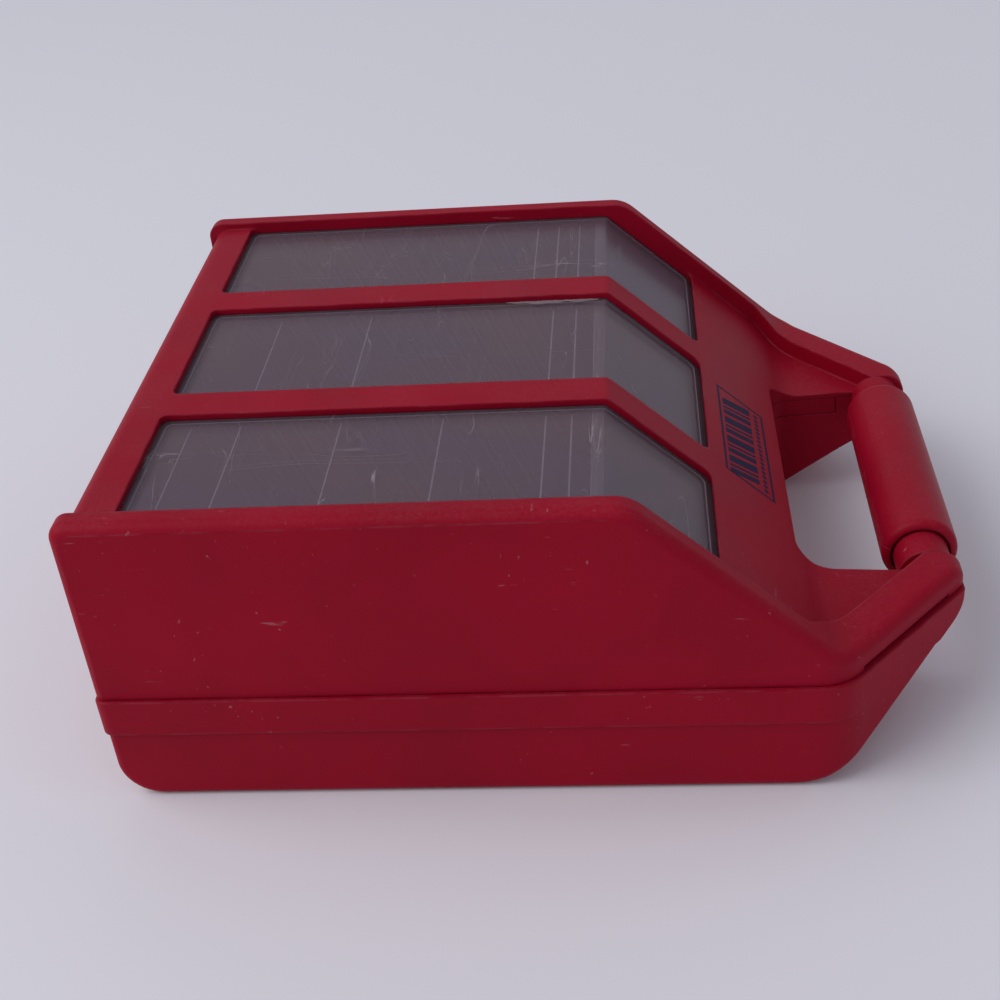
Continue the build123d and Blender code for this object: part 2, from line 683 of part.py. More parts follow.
latch_pin = cross_rod(LATCH_PIVOT, LATCH_PIVOT_HEIGHT, LATCH_PIN_DIAMETER, -latch_pin_half, latch_pin_half)
latch_pin.label = "latch_pin"


# Handle bar with its necks and journals, and the two half sleeves of the grip

SHOULDER = GRIP_LENGTH / 2 - GRIP_RECESS_DEPTH + RUNNING_CLEARANCE
NECK_END = HALF_HOLE_AT_GRIP - RUNNING_CLEARANCE

with BuildPart() as handle_bar:
    add(cross_rod(GRIP_AXIS, PARTING_HEIGHT, BAR_DIAMETER, -SHOULDER, SHOULDER))
    for side in (-1, 1):
        add(cross_rod(GRIP_AXIS, PARTING_HEIGHT, NECK_DIAMETER, side * SHOULDER, side * NECK_END))
        add(cross_rod(GRIP_AXIS, PARTING_HEIGHT, JOURNAL_DIAMETER, side * SHOULDER, side * BAR_HALF_LENGTH))
    add(bar_screw_room(SEAT_CLEARANCE), mode=Mode.SUBTRACT)
handle_bar.part.label = "handle_bar"

with BuildPart() as bar_screws:
    add(bar_screw_room())
    for side in (-1, 1):
        slot_height = PARTING_HEIGHT - JOURNAL_DIAMETER / 2 - BAR_SCREW_GRIP - BAR_SCREW_HEAD_HEIGHT
        with BuildSketch(Plane.XY.offset(slot_height)):
            with Locations((x_at(GRIP_AXIS), side * (HALF_HOLE_AT_GRIP + JOURNAL_LENGTH / 2))):
                Rectangle(BAR_SCREW_HEAD_DIAMETER, BAR_SCREW_SLOT)
        extrude(amount=BAR_SCREW_SLOT, mode=Mode.SUBTRACT)
bar_screws.part.label = "bar_screws"

grip_seam = Plane(
    origin=(x_at(GRIP_AXIS), 0, PARTING_HEIGHT),
    x_dir=(0, 1, 0),
    z_dir=Vector(0, 0, 1).rotate(Axis.Y, GRIP_SEAM_ANGLE),
)


def grip_half(keep):
    """One half of the sleeve, on one side of the seam."""
    half_length = GRIP_LENGTH / 2
    bore = BAR_DIAMETER + 2 * SHAFT_CLEARANCE
    recess = NECK_DIAMETER + 2 * GRIP_RECESS_GAP
    with BuildPart() as sleeve:
        add(cross_rod(GRIP_AXIS, PARTING_HEIGHT, GRIP_DIAMETER, -half_length, half_length))
        fillet(sleeve.edges().filter_by(GeomType.CIRCLE), GRIP_END_RADIUS)
        add(cross_rod(GRIP_AXIS, PARTING_HEIGHT, bore, -half_length, half_length), mode=Mode.SUBTRACT)
        for side in (-1, 1):
            start = side * (half_length - GRIP_RECESS_DEPTH)
            add(cross_rod(GRIP_AXIS, PARTING_HEIGHT, recess, start, side * half_length), mode=Mode.SUBTRACT)
        split(bisect_by=grip_seam, keep=keep)
        peg_radius = (BAR_DIAMETER + GRIP_DIAMETER) / 4
        upper = keep == Keep.TOP
        with BuildSketch(grip_seam):
            with GridLocations(PEG_SPACING, 2 * peg_radius, 2, 2):
                Circle(PEG_DIAMETER / 2 + (SEAT_CLEARANCE if upper else 0))
        if upper:
            extrude(amount=PEG_LENGTH + SEAT_CLEARANCE, mode=Mode.SUBTRACT)
        else:
            extrude(amount=PEG_LENGTH)
    return sleeve.part


grip_upper_half = grip_half(Keep.TOP)
grip_upper_half.label = "grip_upper_half"
grip_lower_half = grip_half(Keep.BOTTOM)
grip_lower_half.label = "grip_lower_half"


# Written pieces

os.makedirs("parts", exist_ok=True)
export_step(back_shell.part, "parts/back_shell.step")
export_step(front_cover.part, "parts/front_cover.step")
export_step(hinge_pin, "parts/hinge_pin.step")
export_step(latch_lever.part, "parts/latch_lever.step")
export_step(latch_pin, "parts/latch_pin.step")
export_step(handle_bar.part, "parts/handle_bar.step")
export_step(bar_screws.part, "parts/bar_screws.step")
export_step(grip_upper_half, "parts/grip_upper_half.step")
export_step(grip_lower_half, "parts/grip_lower_half.step")
for row_name, row in ROWS.items():
    pane = window_pane(row)
    pane.label = f"window_pane_{row_name}"
    export_step(pane, f"parts/{pane.label}.step")
    tray = card_tray(row)
    tray.label = f"card_tray_{row_name}"
    export_step(tray, f"parts/{tray.label}.step")
    for number, slot in enumerate(DIVIDERS[row_name], 1):
        plate = divider(row, slot)
        plate.label = f"divider_{row_name}_{number}"
        export_step(plate, f"parts/{plate.label}.step")
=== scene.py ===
"""Looks of the card storage case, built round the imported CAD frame.

The CAD solids keep their shapes and get moulded, clear and steel finishes. Thin surface
pieces that the solids leave out, such as the beads round the window panes, the printed
mark and the chip in the middle pane, are meshes of their own.
"""

import logging
import math
import random
from dataclasses import dataclass
from enum import Enum
from typing import Any, Iterable, Sequence

import bmesh
import bpy
from mathutils import Matrix, Vector


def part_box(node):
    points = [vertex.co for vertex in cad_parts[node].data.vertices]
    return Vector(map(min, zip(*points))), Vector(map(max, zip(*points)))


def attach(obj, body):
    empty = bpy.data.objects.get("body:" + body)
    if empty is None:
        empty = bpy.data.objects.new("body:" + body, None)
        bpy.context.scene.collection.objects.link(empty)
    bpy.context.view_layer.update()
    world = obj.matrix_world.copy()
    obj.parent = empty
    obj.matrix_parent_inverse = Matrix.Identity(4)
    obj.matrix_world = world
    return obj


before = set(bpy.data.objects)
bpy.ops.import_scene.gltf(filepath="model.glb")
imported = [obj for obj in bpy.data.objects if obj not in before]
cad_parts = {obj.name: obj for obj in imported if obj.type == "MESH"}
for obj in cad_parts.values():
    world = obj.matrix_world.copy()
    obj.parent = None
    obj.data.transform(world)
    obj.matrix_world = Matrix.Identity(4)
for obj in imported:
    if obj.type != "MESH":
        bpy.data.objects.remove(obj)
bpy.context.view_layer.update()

LOG = logging.getLogger("card_case")
MM = 0.001

Point = tuple[float, float]
Place = tuple[float, float, float]
Colour = tuple[float, float, float]


class Body(Enum):
    """The moving bodies of the case."""

    BASE = "base"
    COVER = "cover"
    LATCH = "latch"
    GRIP = "grip"


class Row(Enum):
    """The three rows of cards, by the side of the case that they lie on."""

    NEAR = -1
    MIDDLE = 0
    FAR = 1

    @property
    def word(self) -> str:
        """The row's name as the CAD nodes spell it."""
        return self.name.lower()


# ---------------------------------------------------------------- node trees


class Wiring:
    """Short way to add and join nodes in one node tree."""

    def __init__(self, tree: bpy.types.NodeTree) -> None:
        """Start on a tree that may already hold nodes.

        Args:
            tree: The material's, world's or group's node tree.
        """
        self.tree = tree

    def add(
        self, kind: str, sockets: dict[Any, Any] | None = None, **settings: Any
    ) -> bpy.types.Node:
        """Add one node.

        Args:
            kind: The node's Blender type name.
            sockets: Input name or number, and the value or the output socket that it takes.
            **settings: Node attributes to set before the inputs.

        Returns:
            The new node.
        """
        node = self.tree.nodes.new(kind)
        for key, value in settings.items():
            setattr(node, key, value)
        for key, value in (sockets or {}).items():
            if isinstance(value, bpy.types.NodeSocket):
                self.tree.links.new(value, node.inputs[key])
            else:
                node.inputs[key].default_value = value
        return node

    def math(self, operation: str, *values: Any, clamp: bool = False) -> bpy.types.NodeSocket:
        """Add a Math node and return its output.

        Args:
            operation: The Math node's operation.
            *values: Its inputs, numbers or sockets.
            clamp: Whether the result stays between 0 and 1.

        Returns:
            The node's value socket.
        """
        sockets = dict(enumerate(values))
        node = self.add("ShaderNodeMath", sockets, operation=operation, use_clamp=clamp)
        return node.outputs[0]

    def ramp(self, value: Any, low: Any, high: Any) -> bpy.types.NodeSocket:
        """Smooth step of a value from 0 at low to 1 at high.

        Args:
            value: The socket to read.
            low: Value that gives 0.
            high: Value that gives 1.

        Returns:
            The stepped value socket.
        """
        sockets = {"Value": value, "From Min": low, "From Max": high}
        node = self.add("ShaderNodeMapRange", sockets, interpolation_type="SMOOTHSTEP")
        return node.outputs["Result"]

    def mix(self, factor: Any, first: Any, second: Any) -> bpy.types.NodeSocket:
        """Mix two colours.

        Args:
            factor: Share of the second colour.
            first: Colour or socket.
            second: Colour or socket.

        Returns:
            The mixed colour socket.
        """
        node = self.add("ShaderNodeMix", data_type="RGBA")
        for name, value in (("Factor", factor), ("A", first), ("B", second)):
            socket = next(s for s in node.inputs if s.name == name and s.enabled)
            if isinstance(value, bpy.types.NodeSocket):
                self.tree.links.new(value, socket)
            elif name == "Factor":
                socket.default_value = value
            else:
                socket.default_value = (*value[:3], 1.0)
        return next(s for s in node.outputs if s.enabled)

    def dot(self, first: Any, second: Any) -> bpy.types.NodeSocket:
        """Add the dot product of two vectors and return its value.

        Args:
            first: Vector or socket.
            second: Vector or socket.

        Returns:
            The node's value socket.
        """
        sockets = {0: first, 1: second}
        node = self.add("ShaderNodeVectorMath", sockets, operation="DOT_PRODUCT")
        return node.outputs["Value"]

    def noise(
        self, vector: Any, scale: Any, detail: float, distortion: float = 0.0
    ) -> bpy.types.NodeSocket:
        """Add a Noise texture and return its value.

        Args:
            vector: Place to read it at.
            scale: Its scale per metre, a number or a socket.
            detail: Octaves.
            distortion: How far it is warped.

        Returns:
            The noise value socket.
        """
        sockets = {"Vector": vector, "Scale": scale, "Detail": detail, "Distortion": distortion}
        return self.add("ShaderNodeTexNoise", sockets).outputs["Fac"]


class EffectGroup:
    """A shader node group with named inputs and outputs, built once and used in many materials."""

    def __init__(self, name: str, inputs: dict[str, float], outputs: dict[str, str]) -> None:
        """Make the group and its sockets.

        Args:
            name: The group's name.
            inputs: Input names with their default numbers.
            outputs: Output names with their socket kinds.
        """
        self.group = bpy.data.node_groups.new(name, "ShaderNodeTree")
        for key, value in inputs.items():
            socket = self.group.interface.new_socket(
                key, in_out="INPUT", socket_type="NodeSocketFloat"
            )
            socket.default_value = value
        for key, kind in outputs.items():
            self.group.interface.new_socket(key, in_out="OUTPUT", socket_type=kind)
        self.wiring = Wiring(self.group)
        self.source = self.wiring.add("NodeGroupInput")
        self.sink = self.wiring.add("NodeGroupOutput")
        self.place = self.wiring.add("ShaderNodeTexCoord").outputs["Object"]

    def read(self, name: str) -> bpy.types.NodeSocket:
        """The group's own input of that name."""
        return self.source.outputs[name]

    def give(self, name: str, socket: bpy.types.NodeSocket) -> None:
        """Join a socket to the group's output of that name."""
        self.group.links.new(socket, self.sink.inputs[name])

    def stretched(self, scale: Sequence[float], turn: Sequence[float]) -> bpy.types.NodeSocket:
        """Object coordinates, turned and then stretched.

        Args:
            scale: Stretch along each axis.
            turn: Rotation in degrees.

        Returns:
            The vector socket.
        """
        rotation = [math.radians(angle) for angle in turn]
        sockets = {"Vector": self.place, "Rotation": rotation, "Scale": scale}
        node = self.wiring.add("ShaderNodeMapping", sockets, vector_type="POINT")
        return node.outputs["Vector"]


class Effects:
    """The node groups that the finishes share."""

    def __init__(self) -> None:
        """Build each group once."""
        self.edge_wear_and_highlight = self._edge_wear_and_highlight()
        self.grain = self._grain()
        self.scuffs = self._scuffs()
        self.dust = self._dust()
        self.scratches = self._scratches()

    @staticmethod
    def _edge_wear_and_highlight() -> bpy.types.NodeTree:
        """Mask along edges, for pale wear and painted highlights, and a normal that rounds them off
        a little.

        Returns:
            The node group.
        """
        effect = EffectGroup(
            "edge_wear_and_highlight",
            {"Radius": 0.8 * MM, "Breakup": 90.0, "Evenness": 0.0, "Amount": 1.0},
            {"Mask": "NodeSocketFloat", "Normal": "NodeSocketVector"},
        )
        wiring = effect.wiring
        turn_range, patch_range = (0.01, 0.16), (0.36, 0.66)
        bevel = wiring.add("ShaderNodeBevel", {"Radius": effect.read("Radius")}, samples=6)
        true_normal = wiring.add("ShaderNodeNewGeometry").outputs["Normal"]
        turned = wiring.math("SUBTRACT", 1.0, wiring.dot(bevel.outputs[0], true_normal))
        edge = wiring.ramp(turned, *turn_range)
        noise = wiring.noise(effect.place, effect.read("Breakup"), detail=4.0, distortion=0.4)
        patches = wiring.ramp(noise, *patch_range)
        kept = wiring.math("MAXIMUM", patches, effect.read("Evenness"))
        broken = wiring.math("MULTIPLY", edge, kept)
        effect.give("Mask", wiring.math("MULTIPLY", broken, effect.read("Amount"), clamp=True))
        effect.give("Normal", bevel.outputs[0])
        return effect.group

    @staticmethod
    def _grain() -> bpy.types.NodeTree:
        """Height of a fine moulded grain over slow unevenness, and the tone of its patches.

        Returns:
            The node group.
        """
        effect = EffectGroup(
            "moulded_grain",
            {"Scale": 1400.0, "Waviness": 0.3},
            {"Height": "NodeSocketFloat", "Tone": "NodeSocketFloat"},
        )
        wiring = effect.wiring
        slow_scale, cloud_scale, fine_share = 38.0, 17.0, 0.35
        fine = wiring.noise(effect.place, effect.read("Scale"), detail=2.0)
        slow = wiring.noise(effect.place, slow_scale, detail=2.0)
        clouds = wiring.noise(effect.place, cloud_scale, detail=5.0, distortion=0.3)
        effect.give("Height", wiring.math("MULTIPLY_ADD", slow, effect.read("Waviness"), fine))
        effect.give("Tone", wiring.math("MULTIPLY_ADD", fine, fine_share, clouds))
        return effect.group

    @staticmethod
    def _scuffs() -> bpy.types.NodeTree:
        """Mask of short pale scuffs and specks from handling.

        Returns:
            The node group.
        """
        effect = EffectGroup("handling_scuffs", {"Amount": 1.0}, {"Mask": "NodeSocketFloat"})
        wiring = effect.wiring
        runs = (((1, 7, 5), (20, 35, 10)), ((6, 1, 5), (-15, 10, 40)))
        streak_scale, area_scale, speck_scale, speck_share = 70.0, 14.0, 520.0, 0.8
        streak_range, area_range, speck_range = (0.69, 0.76), (0.46, 0.62), (0.755, 0.79)
        streaks = None
        for scale, turn in runs:
            place = effect.stretched(scale, turn)
            noise = wiring.noise(place, streak_scale, detail=4.0, distortion=0.2)
            run = wiring.ramp(noise, *streak_range)
            streaks = run if streaks is None else wiring.math("MAXIMUM", streaks, run)
        areas = wiring.noise(effect.place, area_scale, detail=2.0)
        streaks = wiring.math("MULTIPLY", streaks, wiring.ramp(areas, *area_range))
        specks = wiring.noise(effect.place, speck_scale, detail=2.0)
        specks = wiring.ramp(specks, *speck_range)
        mask = wiring.math("MULTIPLY_ADD", specks, speck_share, streaks)
        effect.give("Mask", wiring.math("MULTIPLY", mask, effect.read("Amount"), clamp=True))
        return effect.group

    @staticmethod
    def _dust() -> bpy.types.NodeTree:
        """Mask of fine dust on faces that look up.

        Returns:
            The node group.
        """
        effect = EffectGroup("settled_dust", {"Amount": 0.2}, {"Mask": "NodeSocketFloat"})
        wiring = effect.wiring
        patch_scale, speck_scale = 30.0, 900.0
        upward_range, settled_range = (0.2, 1.0), (0.12, 0.5)
        normal = wiring.add("ShaderNodeTexCoord").outputs["Normal"]
        height = wiring.add("ShaderNodeSeparateXYZ", {0: normal}).outputs["Z"]
        upward = wiring.ramp(height, *upward_range)
        patches = wiring.noise(effect.place, patch_scale, detail=6.0)
        specks = wiring.noise(effect.place, speck_scale, detail=2.0)
        settled = wiring.ramp(wiring.math("MULTIPLY", patches, specks), *settled_range)
        mask = wiring.math("MULTIPLY", upward, settled)
        effect.give("Mask", wiring.math("MULTIPLY", mask, effect.read("Amount"), clamp=True))
        return effect.group

    @staticmethod
    def _scratches() -> bpy.types.NodeTree:
        """Mask of thin crossing scratches on clear plastic.

        Returns:
            The node group.
        """
        effect = EffectGroup(
            "fine_scratches", {"Width": 0.004, "Amount": 1.0}, {"Mask": "NodeSocketFloat"}
        )
        wiring = effect.wiring
        runs = (
            ((34, 3.2, 10), (0, 0, 24)),
            ((3.0, 30, 10), (0, 0, -11)),
            ((40, 5.0, 12), (0, 0, 71)),
        )
        line_scale, area_scale, middle, area_range = 2.4, 1.1, 0.5, (0.52, 0.66)
        lines = None
        for number, (scale, turn) in enumerate(runs):
            place = effect.stretched(scale, turn)
            value = wiring.noise(place, line_scale + number, detail=1.0, distortion=0.15)
            off = wiring.math("ABSOLUTE", wiring.math("SUBTRACT", value, middle))
            line = wiring.math("SUBTRACT", 1.0, wiring.ramp(off, 0.0, effect.read("Width")))
            areas = wiring.noise(place, area_scale + number, detail=3.0)
            line = wiring.math("MULTIPLY", line, wiring.ramp(areas, *area_range))
            lines = line if lines is None else wiring.math("MAXIMUM", lines, line)
        effect.give("Mask", wiring.math("MULTIPLY", lines, effect.read("Amount"), clamp=True))
        return effect.group


# ------------------------------------------------------------------- finishes


def srgb(red: int, green: int, blue: int) -> Colour:
    """Linear colour of a screen colour.

    Args:
        red: 0 to 255.
        green: 0 to 255.
        blue: 0 to 255.

    Returns:
        The three linear channels.
    """
    def channel(value: int) -> float:
        """One channel from screen to linear."""
        share = value / 255
        return share / 12.92 if share <= 0.04045 else ((share + 0.055) / 1.055) ** 2.4

    return channel(red), channel(green), channel(blue)


@dataclass(frozen=True)
class Finish:
    """A material with a name."""

    name: str

    def start(self) -> tuple[bpy.types.Material, Wiring, bpy.types.Node]:
        """Empty material with a Principled shader on its output.

        Returns:
            The material, its wiring and the shader.
        """
        material = bpy.data.materials.new(self.name)
        material.use_nodes = True
        material.node_tree.nodes.clear()
        wiring = Wiring(material.node_tree)
        shader = wiring.add("ShaderNodeBsdfPrincipled")
        wiring.add("ShaderNodeOutputMaterial", {"Surface": shader.outputs[0]})
        return material, wiring, shader

    def build(self, effects: Effects) -> bpy.types.Material:
        """Build the material.

        Args:
            effects: The shared node groups.

        Returns:
            The material.
        """
        raise NotImplementedError


@dataclass(frozen=True)
class MouldedPlastic(Finish):
    """Opaque satin plastic with a fine grain, pale edges that are partly wear and partly painted
    highlight, scuffs and a little dust.
    """

    colour: Colour = (0.35, 0.0025, 0.021)
    deep: Colour = (0.28, 0.0015, 0.016)
    worn_and_highlit: Colour = srgb(172, 62, 80)
    scuffed: Colour = srgb(196, 150, 156)
    dusty: Colour = srgb(176, 150, 156)
    tone: Point = (0.35, 0.95)
    roughness: float = 0.5
    gloss: float = 0.1
    grain: float = 0.25
    grain_depth: float = 0.12 * MM
    wear_and_highlight: float = 0.75
    wear_and_highlight_width: float = 1.3 * MM
    scuffs: float = 0.28
    dust: float = 0.05

    def build(self, effects: Effects) -> bpy.types.Material:
        """Build the plastic.

        Args:
            effects: The shared node groups.

        Returns:
            The material.
        """
        material, wiring, shader = self.start()
        edges = wiring.add("ShaderNodeGroup", node_tree=effects.edge_wear_and_highlight)
        edges.inputs["Radius"].default_value = self.wear_and_highlight_width
        edges.inputs["Amount"].default_value = self.wear_and_highlight
        grain = wiring.add("ShaderNodeGroup", node_tree=effects.grain)
        scuffs = wiring.add("ShaderNodeGroup", node_tree=effects.scuffs)
        scuffs.inputs["Amount"].default_value = self.scuffs
        dust = wiring.add("ShaderNodeGroup", node_tree=effects.dust)
        dust.inputs["Amount"].default_value = self.dust
        tone = wiring.ramp(grain.outputs["Tone"], *self.tone)
        colour = wiring.mix(tone, self.deep, self.colour)
        # Pale edge colour: partly real wear, partly a painted highlight of the rounded edges; it
        # also falls on inside corners.
        colour = wiring.mix(edges.outputs["Mask"], colour, self.worn_and_highlit)
        colour = wiring.mix(scuffs.outputs["Mask"], colour, self.scuffed)
        colour = wiring.mix(dust.outputs["Mask"], colour, self.dusty)
        tone_spread, dust_spread = 0.1, 0.3
        rough = wiring.math("MULTIPLY_ADD", tone, tone_spread, self.roughness - tone_spread / 2)
        rough = wiring.math("MULTIPLY_ADD", dust.outputs["Mask"], dust_spread, rough)
        bump = wiring.add(
            "ShaderNodeBump",
            {"Height": grain.outputs["Height"], "Normal": edges.outputs["Normal"]},
        )
        bump.inputs["Strength"].default_value = self.grain
        bump.inputs["Distance"].default_value = self.grain_depth
        links = material.node_tree.links
        links.new(colour, shader.inputs["Base Color"])
        links.new(rough, shader.inputs["Roughness"])
        links.new(bump.outputs[0], shader.inputs["Normal"])
        shader.inputs["Specular IOR Level"].default_value = self.gloss
        return material


@dataclass(frozen=True)
class ClearPlastic(Finish):
    """Clear or milky plastic whose edges, ribs and scratches catch the light; the light on edges
    and ribs is a painted highlight in colour and opacity, and opacity that grows at glancing angles
    is a painted reflection.
    """

    colour: Colour = (0.6, 0.6, 0.64)
    # The second colour is the painted highlight along edges and ribs.
    edge: Colour = (0.85, 0.85, 0.9)
    body: float = 0.3
    rim_highlight: float = 0.6
    # Extra opacity at glancing angles, a painted reflection.
    glancing_reflection: float = 0.4
    scratches: float = 0.3
    roughness: float = 0.14
    radius: float = 0.5 * MM
    evenness: float = 0.5
    breakup: float = 24.0
    drift_scale: float = 15.0
    drift: Point = (0.3, 0.7)
    cooler: Colour = (0.9, 0.97, 1.08)
    refraction: float = 1.49

    def add_painted_highlights(self, wiring: Wiring, scratches_and_highlights: bpy.types.NodeSocket) -> bpy.types.NodeSocket:
        """Give back the scratches and painted highlights as they are, since plain clear plastic has
        no lines of its own.
        """
        return scratches_and_highlights

    def build(self, effects: Effects) -> bpy.types.Material:
        """Build the clear plastic.

        Args:
            effects: The shared node groups.

        Returns:
            The material.
        """
        material, wiring, shader = self.start()
        edges = wiring.add("ShaderNodeGroup", node_tree=effects.edge_wear_and_highlight)
        edges.inputs["Radius"].default_value = self.radius
        edges.inputs["Breakup"].default_value = self.breakup
        edges.inputs["Evenness"].default_value = self.evenness
        scratches = wiring.add("ShaderNodeGroup", node_tree=effects.scratches)
        scratches.inputs["Amount"].default_value = self.scratches
        # Painted highlight along edges, laid in as pale colour and extra opacity.
        rim_highlights = wiring.math("MULTIPLY", edges.outputs["Mask"], self.rim_highlight)
        scratches_and_highlights = wiring.math("MAXIMUM", scratches.outputs["Mask"], rim_highlights)
        scratches_and_highlights = self.add_painted_highlights(wiring, scratches_and_highlights)
        place = wiring.add("ShaderNodeTexCoord").outputs["Object"]
        noise = wiring.noise(place, self.drift_scale, detail=2.0, distortion=0.6)
        drift = wiring.ramp(noise, *self.drift)
        cool = tuple(share * factor for share, factor in zip(self.colour, self.cooler))
        colour = wiring.mix(scratches_and_highlights, wiring.mix(drift, self.colour, cool), self.edge)
        # Painted reflection: the plastic grows more opaque towards glancing angles.
        glance = wiring.add("ShaderNodeFresnel", {"IOR": self.refraction}).outputs[0]
        alpha = wiring.math("MULTIPLY_ADD", glance, self.glancing_reflection, self.body)
        alpha = wiring.math("ADD", alpha, scratches_and_highlights, clamp=True)
        mark_spread = 0.35
        rough = wiring.math("MULTIPLY_ADD", scratches_and_highlights, mark_spread, self.roughness)
        links = material.node_tree.links
        links.new(colour, shader.inputs["Base Color"])
        links.new(alpha, shader.inputs["Alpha"])
        links.new(rough, shader.inputs["Roughness"])
        shader.inputs["IOR"].default_value = self.refraction
        return material


@dataclass(frozen=True)
class DividerSheet(ClearPlastic):
    """Clear divider with fine painted highlight lines along its top and side edges.

    The sizes are millimetres. Spacing and first are the slots' own, measured square to the
    leaning sheets. Turn is how much a face looks along that direction where it is an edge.
    """

    lean: float = 22.0
    spacing: float = 8.6228
    first: float = 64.69
    row_spacing: float = 82.3333
    half_width: float = 38.0
    turn: Point = (0.3, 0.7)
    line: Point = (0.22, 0.42)
    margin: Point = (0.8, 1.3)
    fade: Point = (45.0, 100.0)

    def add_painted_highlights(self, wiring: Wiring, scratches_and_highlights: bpy.types.NodeSocket) -> bpy.types.NodeSocket:
        """Add painted highlights along the cut edges and the side margins.

        Args:
            wiring: The material's wiring.
            scratches_and_highlights: The scratches and painted highlights so far.

        Returns:
            The scratches and highlights with the painted edge highlights added.
        """
        angle = math.radians(self.lean)
        square = (math.cos(angle), 0.0, math.sin(angle))
        texture = wiring.add("ShaderNodeTexCoord")
        normal, place = texture.outputs["Normal"], texture.outputs["Object"]
        core_share, cut_share, margin_share = 0.75, 0.15, 0.6
        # Painted highlight on faces that look along the slots, the sheets' cut edges, with a
        # brighter core line at each slot.
        facing = wiring.math("ABSOLUTE", wiring.dot(normal, square))
        cut_highlight = wiring.ramp(facing, self.turn[1], self.turn[0])
        along = wiring.math("SUBTRACT", wiring.dot(place, square), self.first * MM)
        half = self.spacing * MM / 2
        offset = wiring.math("ABSOLUTE", wiring.math("WRAP", along, half, -half))
        core = wiring.ramp(offset, self.line[1] * MM, self.line[0] * MM)
        bright = wiring.math("MULTIPLY_ADD", core, core_share, cut_share)
        cut_highlight = wiring.math("MULTIPLY", cut_highlight, bright)
        axes = wiring.add("ShaderNodeSeparateXYZ", {0: place})
        # Painted highlight along each row's side margins, brighter higher up.
        row = self.row_spacing * MM / 2
        side = wiring.math("ABSOLUTE", wiring.math("WRAP", axes.outputs["Y"], row, -row))
        inner, outer = self.half_width - self.margin[1], self.half_width - self.margin[0]
        margin = wiring.ramp(side, inner * MM, outer * MM)
        fade = wiring.ramp(axes.outputs["Z"], self.fade[0] * MM, self.fade[1] * MM)
        margin = wiring.math("MULTIPLY", margin, wiring.math("MULTIPLY", fade, margin_share))
        return wiring.math("MAXIMUM", scratches_and_highlights, wiring.math("MAXIMUM", cut_highlight, margin))


@dataclass(frozen=True)
class DrawnSteel(Finish):
    """Plain drawn steel with fine lines along the wire."""

    colour: Colour = (0.5, 0.5, 0.52)
    line: Colour = (0.68, 0.68, 0.7)
    roughness: float = 0.2
    spread: float = 0.2

    def build(self, effects: Effects) -> bpy.types.Material:
        """Build the steel.

        Args:
            effects: The shared node groups.

        Returns:
            The material.
        """
        material, wiring, shader = self.start()
        scratches = wiring.add("ShaderNodeGroup", node_tree=effects.scratches)
        grain = wiring.add("ShaderNodeGroup", node_tree=effects.grain)
        colour = wiring.mix(scratches.outputs["Mask"], self.colour, self.line)
        rough = wiring.math("MULTIPLY_ADD", grain.outputs["Tone"], self.spread, self.roughness)
        links = material.node_tree.links
        links.new(colour, shader.inputs["Base Color"])
        links.new(rough, shader.inputs["Roughness"])
        shader.inputs["Metallic"].default_value = 1.0
        return material


@dataclass(frozen=True)
class WornInk(Finish):
    """Printed ink that handling has thinned."""

    colour: Colour = (0.012, 0.006, 0.042)
    plastic: Colour = (0.2, 0.008, 0.02)
    roughness: float = 0.45
    spread: float = 0.15
    gloss: float = 0.1
    grain: float = 0.2
    grain_depth: float = 0.1 * MM
    patch_scale: float = 420.0
    thinned: Point = (0.62, 0.8)

    def build(self, effects: Effects) -> bpy.types.Material:
        """Build the ink.

        Args:
            effects: The shared node groups.

        Returns:
            The material.
        """
        material, wiring, shader = self.start()
        grain = wiring.add("ShaderNodeGroup", node_tree=effects.grain)
        place = wiring.add("ShaderNodeTexCoord").outputs["Object"]
        noise = wiring.noise(place, self.patch_scale, detail=5.0)
        thin = wiring.ramp(noise, *self.thinned)
        colour = wiring.mix(thin, self.colour, self.plastic)
        rough = wiring.math("MULTIPLY_ADD", grain.outputs["Tone"], self.spread, self.roughness)
        bump = wiring.add("ShaderNodeBump", {"Height": grain.outputs["Height"]})
        bump.inputs["Strength"].default_value = self.grain
        bump.inputs["Distance"].default_value = self.grain_depth
        links = material.node_tree.links
        links.new(colour, shader.inputs["Base Color"])
        links.new(rough, shader.inputs["Roughness"])
        links.new(bump.outputs[0], shader.inputs["Normal"])
        shader.inputs["Specular IOR Level"].default_value = self.gloss
        return material


